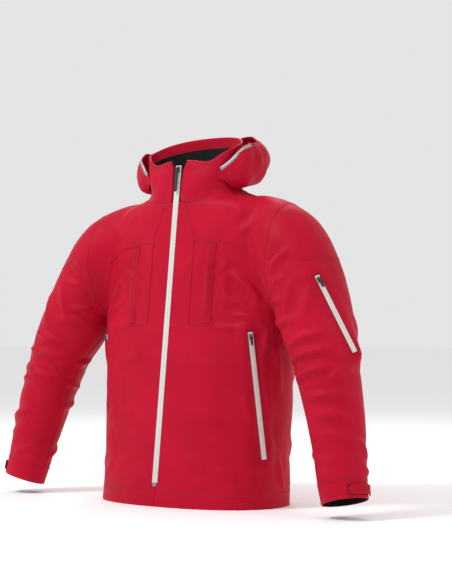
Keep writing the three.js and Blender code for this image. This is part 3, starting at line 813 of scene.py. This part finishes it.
def cut_skin(points, faces):
    """Opens the hem, the neck, the wrists and the zips, and cuts the cloth where its pieces part."""
    bm = bmesh.new()
    for p in points:
        bm.verts.new(p)
    bm.verts.ensure_lookup_table()
    for f in faces:
        bm.faces.new([bm.verts[i] for i in f])
    bisect(bm, near_hem, (0, 0, 0), (0, 0, -1), clear=True)
    front, back = torso_point(0, NECK_STATION), torso_point(180, NECK_STATION)
    rise = back - front
    bisect(bm, near_neck, Vector(front), Vector((0, -rise[2], rise[1])), clear=True)
    for _, sign in SIDES:
        cut_side(bm, sign)
    slot_bottom = ZIP_BOTTOM_Z - 0.002
    bisect(bm, near_front_zip, (0, 0, slot_bottom), (0, 0, 1))
    slot = []
    for f in bm.faces:
        c = f.calc_center_median()
        if abs(c.x) < ZIP_SLOT and near_front_zip(c) and c.z > slot_bottom:
            slot.append(f)
    for _, strip, sign, _ in POCKET_ZIPS:
        slot += pocket_slot(bm, strip, sign)
    bmesh.ops.delete(bm, geom=slot, context="FACES")
    loose = [v for v in bm.verts if not v.link_faces]
    bmesh.ops.delete(bm, geom=loose, context="VERTS")
    bm.verts.index_update()
    points = np.array([v.co for v in bm.verts])
    faces = [tuple(v.index for v in f.verts) for f in bm.faces]
    bm.free()
    return points, faces


def make_skin():
    points, faces = rough_skin()
    cloth = Cloth(*cut_skin(creased(points, faces), faces))
    groups = [group_at(cloth.points[list(f)].mean(0)) for f in cloth.faces]
    return cloth, thicken("skin", cloth, WALL, groups, [SHELL, LINING])


# ---------- strips and stitches laid on the skin ----------

class Strips:
    """Seams, welts and stitches laid on a cloth, gathered so that each body gets one object."""

    def __init__(self, cloth):
        self.tree = BVHTree.FromPolygons([tuple(p) for p in cloth.points], cloth.faces)
        self.cloth = cloth
        self.points, self.faces, self.kinds = [], [], []

    def on_cloth(self, path, spacing):
        """The path's places on the cloth at an even spacing, with normals and side directions."""
        path = np.array(path, float)
        lengths = np.concatenate([[0], np.cumsum(np.linalg.norm(np.diff(path, axis=0), axis=1))])
        at = np.linspace(0, lengths[-1], max(3, int(lengths[-1] / spacing) + 1))
        path = np.stack([np.interp(at, lengths, path[:, k]) for k in range(3)], 1)
        spots, normals = [], []
        for p in path:
            spot, _, index, _ = self.tree.find_nearest(Vector(p))
            spots.append(spot)
            normals.append(self.cloth.normals[list(self.cloth.faces[index])].mean(0))
        spots = np.array(spots)
        along_it = np.gradient(spots, axis=0)
        along_it /= np.linalg.norm(along_it, axis=1, keepdims=True)
        normals = np.array(normals)
        normals -= np.sum(normals * along_it, axis=1, keepdims=True) * along_it
        normals /= np.linalg.norm(normals, axis=1, keepdims=True)
        return spots, along_it, normals, np.cross(along_it, normals)

    def add(self, points, faces, kind):
        offset = sum(len(p) for p in self.points)
        self.points.append(np.asarray(points))
        self.faces += [tuple(i + offset for i in f) for f in faces]
        self.kinds += [kind] * len(faces)

    def strip(self, path, profile, kind=0, spacing=0.005):
        """Sweeps a profile of (sideways, outwards) points in millimetres along the path."""
        spots, _, normals, sides = self.on_cloth(path, spacing)
        rows = [p + s * x * MM + n * y * MM for p, n, s in zip(spots, normals, sides) for x, y in profile]
        faces = grid_faces(len(spots), len(profile), False)
        last = (len(spots) - 1) * len(profile)
        faces += [tuple(range(len(profile))), tuple(last + i for i in reversed(range(len(profile))))]
        self.add(rows, [f[::-1] for f in faces], kind)

    def stitches(self, path, sideways=0.0, lift=0.35, kind=1, pitch=0.0036):
        """A row of short raised threads."""
        spots, along_it, normals, sides = self.on_cloth(path, pitch)
        for p, a, n, s in list(zip(spots, along_it, normals, sides))[1:-1]:
            middle = p + s * sideways * MM + n * lift * MM
            corners = []
            for reach, size in ((-1.25, 0.14), (-0.5, 0.34), (0.5, 0.34), (1.25, 0.14)):
                for x, y in ((1, 0), (0, 1), (-1, 0), (0, -1)):
                    corners.append(middle + (a * reach + (s * x + n * y) * size) * MM)
            self.add(corners, grid_faces(4, 4, True), kind)

    def seam(self, path):
        """A lapped seam: one cloth edge turned over the other, with a row of stitches beside its fold."""
        self.strip(path, LAP)
        self.stitches(path, 1.0, 0.75)

    # By default the strips are in the darker copy of the shell fabric, which is painted shade, with red
    # thread.
    def finish(self, name, group=None, materials=(SHADED_SHELL, THREAD)):
        """Makes the objects: one on the given body, or one for each part of the skin they lie on."""
        points = np.vstack(self.points)
        groups = group or [group_at(points[list(f)].mean(0)) for f in self.faces]
        return part_out(name, points, self.faces, self.kinds, groups, materials)


# sideways and outwards in millimetres
LAP = [(-2.6, -0.6), (-2.5, 0.25), (-2.0, 0.75), (-0.6, 0.6), (1.2, 0.35), (3.2, -0.2)]
WELT = [(-9.5, -0.8), (-9.4, 0.8), (-8.4, 1.7), (-3, 2.0), (3, 1.9), (8.4, 1.5), (9.4, 0.7), (9.5, -0.8)]
LIP = [(-1.8, -0.8), (-1.8, 0.9), (-0.9, 1.7), (0.6, 1.5), (2.2, 0.5), (3.2, -0.5)]
PIPING = [(-2.4, -0.4), (-2.2, 0.7), (-1.0, 1.2), (1.0, 1.2), (2.2, 0.7), (2.4, -0.4)]
HEM_CLOSURE = [(-0.9, -0.5), (-0.6, 0.5), (0.6, 0.5), (0.9, -0.5)]

HEM_STITCHES = (30, 33.5)  # heights in millimetres
ZIP_STITCHES_TO_Z = 0.68


def path_through(stops, place, steps):
    """A smooth path through stops, each turned into a point by place."""
    stops = np.array(stops, float)
    at = np.linspace(0, len(stops) - 1, steps * (len(stops) - 1) + 1)
    return [place(*along(stops, t)) for t in at]


def torso_path(stops, sign=1, steps=14):
    """Over the torso, through stops of (angle, height in millimetres)."""
    return path_through(stops, lambda a, z: torso_at(sign * a, z * MM), steps)


def front_path(stops, sign=1, steps=14):
    """Over the torso's front, through stops of (distance from the centre, height), in millimetres."""
    return path_through(stops, lambda x, z: torso_front(sign * x * MM, z * MM), steps)


def sleeve_path(stops, sign=1, steps=14):
    """Over a sleeve, through stops of (angle, station)."""
    return path_through(stops, lambda a, s: sleeve_point(a, s, sign), steps)


# distance from the centre and height in millimetres; angle and height in millimetres; angle and station
FRONT_SEAMS = [
    [(58, 592), (110, 590), (165, 578), (222, 552)],
    [(58, 592), (54, 612), (40, 650), (32, 678)],
    [(58, 592), (58, 500), (60, 408)],
    [(60, 408), (90, 402), (124, 405)],
]
TORSO_SEAMS = [
    [(66, 44), (66, 200), (67, 330), (72, 408)],
    [(116, 44), (116, 200), (115, 330), (106, 408)],
    [(180, 600), (160, 596), (140, 570), (124, 520)],
]
SLEEVE_SEAMS = [
    [(-92, 0.05), (-72, 0.9), (-48, 1.7), (-10, 1.95), (40, 1.7), (88, 0.9)],
    [(172, 0.3), (176, 2.0), (180, 4.0), (180, 5.66)],
    [(-150, 4.3), (-110, 4.05), (-64, 4.15)],
    [(60, 4.0), (100, 4.2), (140, 4.1)],
]


def make_seams(cloth):
    strips = Strips(cloth)
    for _, sign in SIDES:
        for stops in FRONT_SEAMS:
            strips.seam(front_path(stops, sign))
        for stops in TORSO_SEAMS:
            strips.seam(torso_path(stops, sign))
        strips.seam(sleeve_path([(a, -0.06) for a in range(-165, 200, 30)], sign, 4))
        for stops in SLEEVE_SEAMS:
            strips.seam(sleeve_path(stops, sign))
        strips.seam(sleeve_path([(a, 5.68) for a in range(-180, 190, 30)], sign, 4))
        strips.stitches(sleeve_path([(a, 5.95) for a in range(-180, 190, 30)], sign, 4))
    strips.strip(front_path([(0, 1), (0, 26), (0, 49)]), HEM_CLOSURE)
    for height in HEM_STITCHES:
        strips.stitches(torso_path([(a, height) for a in range(3, 358, 5)], 1, 3))
    for _, sign in SIDES:
        heights = np.linspace(ZIP_BOTTOM_Z, ZIP_STITCHES_TO_Z, 60)
        strips.stitches([(sign * ZIP_SLOT * 1.35, front_y(z), z) for z in heights])
    return strips.finish("seams")


def make_welts(cloth):
    for side, sign in SIDES:
        strips = Strips(cloth)
        path = front_path([(109.5, 584), (109.5, 500), (109.5, 408)], sign)
        strips.strip(path, WELT, 0, 0.004)
        strips.stitches(path, 7.6, 1.9)
        strips.stitches(path, -7.6, 1.9)
        welt = strips.finish(f"chest_welt_{side}", "torso")
        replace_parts(*welt.values(), f"chest_pocket_welt_{side}")


def make_arm_piping(cloth):
    """Curved reflective piping on the back of each upper arm."""
    strips = Strips(cloth)
    for _, sign in SIDES:
        strips.strip(sleeve_path([(62, 0.35), (84, 1.0), (104, 1.9), (112, 2.6)], sign), PIPING)
    strips.finish("arm_piping", materials=[REFLECTIVE])


# ---------- zips ----------

# sideways from the centre and outwards, in millimetres, of half a zip: teeth, then woven tape
TAPE_PROFILE = [
    (0.1, -1.6), (0.1, 0.2), (0.5, 0.45), (1.9, 0.45), (2.5, 0.05), (5.0, -0.05), (7.5, -0.05), (7.9, -1.6),
]
TEETH = (2, 3)  # the rows of the profile that carry them
TOOTH_PITCH = 0.0012
TOOTH_DIP = 0.3  # millimetres


def tape_half(name, bottom, up, out, across, length, scale, body):
    rows = int(length / TOOTH_PITCH)
    points = []
    for j in range(rows + 1):
        dip = TOOTH_DIP if j % 2 else 0.0
        for k, (x, y) in enumerate(TAPE_PROFILE):
            lift = y - dip if k in TEETH else y
            points.append(bottom + up * length * j / rows + (across * x * scale + out * lift) * MM)
    faces = tube_faces(rows + 1, len(TAPE_PROFILE))
    if np.cross(across, out) @ up < 0:
        faces = [f[::-1] for f in faces]
    obj = new_object(name, points, faces, [TAPE])
    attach(obj, body)
    return obj


def make_front_zip():
    up = np.array((0, FRONT_SLOPE, 1)) / math.hypot(FRONT_SLOPE, 1)
    out = np.array((0, -1, FRONT_SLOPE)) / math.hypot(FRONT_SLOPE, 1)
    bottom = np.array((0, front_y(ZIP_BOTTOM_Z), ZIP_BOTTOM_Z))
    length = (ZIP_TOP_Z - ZIP_BOTTOM_Z) / up[2]
    for side, sign in SIDES:
        tape = tape_half(f"front_tape_{side}", bottom, up, out, np.array((sign, 0, 0)), length, 1, "shell")
        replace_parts(tape, f"front_zip_tape_{side}")


def make_pocket_zip(cloth, prefix, strip, sign, body):
    """Two tapes between raised lips of cloth, closed off at both ends by a bar of stitches."""
    top, bottom, up, out, across = zip_frame(strip, sign)
    start, length = bottom + up * MM, np.linalg.norm(top - bottom) - 2 * MM
    for side, way in SIDES:
        name = f"{prefix}_cloth_{side}"
        tape = tape_half(name, start, up, out, across * way, length, POCKET_TAPE_SCALE, body)
        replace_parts(tape, f"{prefix}_tape_{side}")
    strips = Strips(cloth)
    for way in (1, -1):
        line = [bottom + up * t + across * way * 0.0072 for t in np.linspace(-0.002, length + 0.004, 30)]
        line = line if way > 0 else line[::-1]
        strips.strip(line, LIP, 0, 0.004)
        strips.stitches(line, 4.4, 0.3)
    for end in (bottom - up * 0.003, top + up * 0.003):
        strips.strip([end - across * 0.0095, end, end + across * 0.0095], PIPING, 0, 0.002)
    strips.finish(f"{prefix}_lips", body)


# ---------- sheets on a surface ----------

def sheet_grid(surface, us, vs, turn=1, lift=0.0, ripple=0.0, scale=14.0):
    """Cloth laid on a surface and lifted off it, with a gentle ripple. turn is -1 where u by v points in."""
    rows = np.array([[surface(u, v) for u in us] for v in vs])
    points = rows.reshape(-1, 3)
    faces = grid_faces(len(vs), len(us), False)
    if turn < 0:
        faces = [f[::-1] for f in faces]
    cloth = Cloth(points, faces)
    waves = np.array([soft_noise(p, scale, 2.3 * scale) for p in points])
    return Cloth(points + cloth.normals * (lift + ripple * waves)[:, None], faces)


def rolled_edge(cloth, columns, thickness, lining_row):
    """Points, faces and kinds of a sheet turned over at its last row: outer face, round fold, inner face."""
    rows = len(cloth.points) // columns
    outer = cloth.points.reshape(rows, columns, 3)
    normals = cloth.normals.reshape(rows, columns, 3)
    rise = outer[-1] - outer[-2]
    rise /= np.linalg.norm(rise, axis=1, keepdims=True)
    half = thickness / 2
    profile = [row for row in outer]
    for a in (30, 60, 90, 120, 150):
        turn = math.radians(a)
        middle = outer[-1] - normals[-1] * half
        profile.append(middle + (normals[-1] * math.cos(turn) + rise * math.sin(turn)) * half)
    profile += [outer[j] - normals[j] * thickness for j in reversed(range(rows))]
    points = np.array(profile)
    count = len(profile)
    faces = grid_faces(count, columns, False)
    kinds = [int(j >= count - 1 - lining_row) for j in range(count - 1) for _ in range(columns - 1)]
    for j in range(rows - 1):
        a, b = j * columns, (j + 1) * columns
        c, d = (count - 2 - j) * columns, (count - 1 - j) * columns
        faces += [(a, b, c, d), (b + columns - 1, a + columns - 1, d + columns - 1, c + columns - 1)]
        kinds += [0, 0]
    return points.reshape(-1, 3), faces, kinds


COLLAR_ZIP_ANGLE = 4.6
COLLAR_LINING_V = 0.80


def make_collar():
    thetas = np.linspace(COLLAR_ZIP_ANGLE, 360 - COLLAR_ZIP_ANGLE, 150)
    heights = np.linspace(0, 1, 26)

    def surface(theta, v):
        """The collar's cloth: it swells between its seams, and its front edges part above the slider."""
        part = 3.4 * smoothstep(v, 0.74, 1.0) * (180 - min(theta, 360 - theta)) / 175
        theta += part if theta < 180 else -part
        hold = smoothstep(min(theta, 360 - theta), 6, 26)
        return collar_shape(theta, v) + outwards(theta) * 0.0035 * math.sin(math.pi * v) * hold

    cloth = sheet_grid(surface, thetas, heights, 1, 0.0, 0.0016, 16)
    lining_rows = int(COLLAR_LINING_V * len(heights))
    points, faces, kinds = rolled_edge(cloth, len(thetas), 0.0052, lining_rows)
    made = part_out("collar_cloth", points, faces, kinds, "torso", [SHELL, LINING])
    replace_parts(*made.values(), "collar", "collar_lining")
    strips = Strips(cloth)
    strips.seam([surface(t, 0.02) for t in thetas[1:-1:3]])
    strips.stitches([surface(t, 0.93) for t in thetas[::3]])
    strips.finish("collar_seams", "torso")


HOOD_BRIM = 3.55  # stations of the brim's seam, its stitches and the reflective trim
HOOD_STITCHES = 3.9
HOOD_TRIM = 3.72
TRIM_PROFILE = [(-4.2, -0.4), (-4, 0.6), (0, 0.9), (4, 0.6), (4.2, -0.4)]
HOOD_TAB_PROFILE = [(-9, -0.4), (-9, 1.2), (-8, 2.0), (8, 2.0), (9, 1.2), (9, -0.4)]


def hood_surface(theta, s):
    """The hood lying open behind the collar: it tapers to a tip at each side of the collar's front."""
    near = min(theta, 360 - theta)
    spread = smoothstep(near, HOOD_FRONT, HOOD_FRONT + 42)
    rear = smoothstep(near, 95, 165)
    out, up = along(HOOD_SIDE, s) * (1 - rear) + along(HOOD_REAR, s) * rear
    wave = 0.0034 * math.sin(math.radians(theta) * 9 + 1.1 * s) * math.sin(math.pi * min(s, 3.4) / 3.4)
    wave += 0.0024 * math.sin(math.radians(theta) * 17 - 2.0 * s + 0.7) * smoothstep(s, 1.0, 3.0)
    drop = 0.004 * math.sin(math.radians(theta) * 6 + 0.8) * smoothstep(s, 2.4, 4.0)
    bucket = collar_point(theta, 0) + outwards(theta) * (out + wave) + np.array((0, 0, up - drop))
    tip = collar_shape(theta, 0.40 + 0.06 * s) + outwards(theta) * (0.006 + 0.001 * s)
    return tip + (bucket - tip) * spread


def make_hood():
    thetas = np.linspace(HOOD_FRONT, 360 - HOOD_FRONT, 170)
    stations = np.linspace(0, 4, 60)
    cloth = sheet_grid(hood_surface, thetas, stations, 1, 0.0, 0.0022, 15)
    points, faces, kinds = rolled_edge(cloth, len(thetas), 0.0034, 0)
    made = part_out("hood_cloth", points, faces, kinds, "hood", [SHELL])
    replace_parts(*made.values(), "hood_shell", "hood_brim", "hood_neck_flange")
    strips = Strips(cloth)
    strips.seam([hood_surface(t, HOOD_BRIM) for t in thetas[1:-1:3]])
    strips.stitches([hood_surface(t, HOOD_STITCHES) for t in thetas[1:-1:3]])
    for theta in (150, 210):
        strips.seam([hood_surface(theta, s) for s in np.linspace(0.1, HOOD_BRIM, 40)])
    strips.finish("hood_seams", "hood")
    for side, sign in SIDES:
        trims = Strips(cloth)
        angles = np.linspace(HOOD_FRONT + 2, 97, 30)
        line = [hood_surface(t if sign > 0 else 360 - t, HOOD_TRIM) for t in angles]
        trims.strip(line, TRIM_PROFILE)
        made = trims.finish(f"hood_trim_{side}", "hood", [REFLECTIVE])
        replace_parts(*made.values(), f"hood_reflective_trim_{side}")
    tab = Strips(cloth)
    line = [hood_surface(180, s) for s in np.linspace(2.1, 3.45, 20)]
    tab.strip(line, HOOD_TAB_PROFILE)
    for x in (-7.4, 7.4):
        tab.stitches(line, x, 2.1)
    made = tab.finish("hood_tab", "hood")
    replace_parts(*made.values(), "hood_adjuster_tab")


# ---------- cuffs and inner pieces ----------

TAB_STATIONS = (5.76, 5.92)
TAB_FROM, TAB_TO = -48, 42  # angles round the wrist
PATCH_TO = 4


def tab_point(u, v, sign):
    """u runs from the free end to the sewn end; the free end is rounded."""
    corner = 6 * abs(2 * v - 1) ** 3 * (1 - u)
    phi = TAB_FROM + corner + (TAB_TO - TAB_FROM) * u
    return sleeve_point(phi, TAB_STATIONS[0] + (TAB_STATIONS[1] - TAB_STATIONS[0]) * v, sign)


def make_cuff_tabs():
    for side, sign in SIDES:
        us, vs = np.linspace(0, 1, 36), np.linspace(0, 1, 12)
        cloth = sheet_grid(lambda u, v: tab_point(u, v, sign), us, vs, -sign, 0.0044)
        # The tab is in the darker copy of the shell fabric: painted shade.
        made = thicken(f"tab_cloth_{side}", cloth, 0.0014, f"cuff_tab_{side}", [SHADED_SHELL])
        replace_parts(*made.values(), f"cuff_tab_{side}")
        strips = Strips(cloth)
        edge = [tab_point(u, 0.12, sign) for u in np.linspace(0.97, 0.05, 30)]
        edge += [tab_point(0.035, v, sign) for v in np.linspace(0.2, 0.8, 8)]
        edge += [tab_point(u, 0.88, sign) for u in np.linspace(0.05, 0.97, 30)]
        strips.stitches(edge, 0, 0.15)
        strips.finish(f"tab_stitches_{side}", f"cuff_tab_{side}")
        phis, stations = np.linspace(TAB_FROM, PATCH_TO, 16), np.linspace(*TAB_STATIONS, 8)
        cloth = sheet_grid(lambda phi, s: sleeve_point(phi, s, sign), phis, stations, -sign, 0.002)
        made = thicken(f"loop_patch_{side}", cloth, 0.0014, f"forearm_{side}", [LINING])
        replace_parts(*made.values(), f"cuff_loop_patch_{side}")


POCKET_BAG_DEPTH = 0.014
STORM_FLAP_DEPTH = 0.009
HANGER_STEPS = 25
HANGER_PROFILE = ((-0.7, 2), (0.7, 2), (0.7, -2), (-0.7, -2))


def make_inner_pieces():
    """The pocket bags and the flap behind the front zip."""
    for side, sign in SIDES:
        us, vs = np.linspace(34, 66, 14), np.linspace(torso_station(0.12), torso_station(0.385), 24)
        cloth = sheet_grid(lambda a, s: torso_point(sign * a, s), us, vs, sign, -POCKET_BAG_DEPTH, 0.0015)
        made = thicken(f"pocket_bag_{side}", cloth, 0.0012, "torso", [LINING])
        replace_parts(*made.values(), f"hand_pocket_bag_{side}")
    us, vs = np.linspace(-7, 7, 8), np.linspace(torso_station(0.042), NECK_STATION - 1.6, 60)
    cloth = sheet_grid(torso_point, us, vs, 1, -STORM_FLAP_DEPTH, 0.0006)
    # The flap is in the darker copy of the shell fabric: painted shade.
    made = thicken("storm_flap_cloth", cloth, 0.0014, "torso", [SHADED_SHELL])
    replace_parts(*made.values(), "storm_flap")


def make_hanger_loop():
    """An arch of flat cord in the middle of the CAD loop's box."""
    low, high = (np.array(corner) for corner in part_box("hanger_loop"))
    half = (high[0] - low[0]) / 2
    points = []
    for a in np.linspace(0, math.pi, HANGER_STEPS):
        centre = (low + high) / 2 + np.array((half * 0.9 * math.cos(a), 0, -0.006 + 0.010 * math.sin(a)))
        points += [centre + np.array((0, y, z)) * MM for y, z in HANGER_PROFILE]
    loop = new_object("hanger_cord_loop", points, tube_faces(HANGER_STEPS, len(HANGER_PROFILE)), [LINING])
    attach(loop, "shell")
    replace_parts(loop, "hanger_loop")


# the CAD nodes that the skin stands for begin with these
SKIN_NODES = (
    "placket_", "front_panel_", "side_panel_", "front_yoke_", "shoulder_panel_",
    "back_", "nape_", "hem_band", "sleeve_upper_", "sleeve_lower_",
)


def finish_hardware():
    """Sliders, stops and pullers keep their CAD shapes and get finished materials."""
    for name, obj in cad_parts.items():
        if name.endswith(("_slider", "_stop")):
            look = METAL
        elif name.endswith("_puller"):
            look = RUBBER
        else:
            continue
        for place in obj.material_slots:
            place.material = look


bpy.context.scene.view_settings.view_transform = "Standard"
make_camera()
make_studio()
skin_cloth, skin = make_skin()
replaced = [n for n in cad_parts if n.startswith(SKIN_NODES)]
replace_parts(skin["torso"], *replaced, "cuff_left", "cuff_right")
make_seams(skin_cloth)
make_welts(skin_cloth)
make_arm_piping(skin_cloth)
make_front_zip()
for zip_row in POCKET_ZIPS:
    make_pocket_zip(skin_cloth, *zip_row)
make_collar()
make_hood()
make_cuff_tabs()
make_inner_pieces()
make_hanger_loop()
finish_hardware()
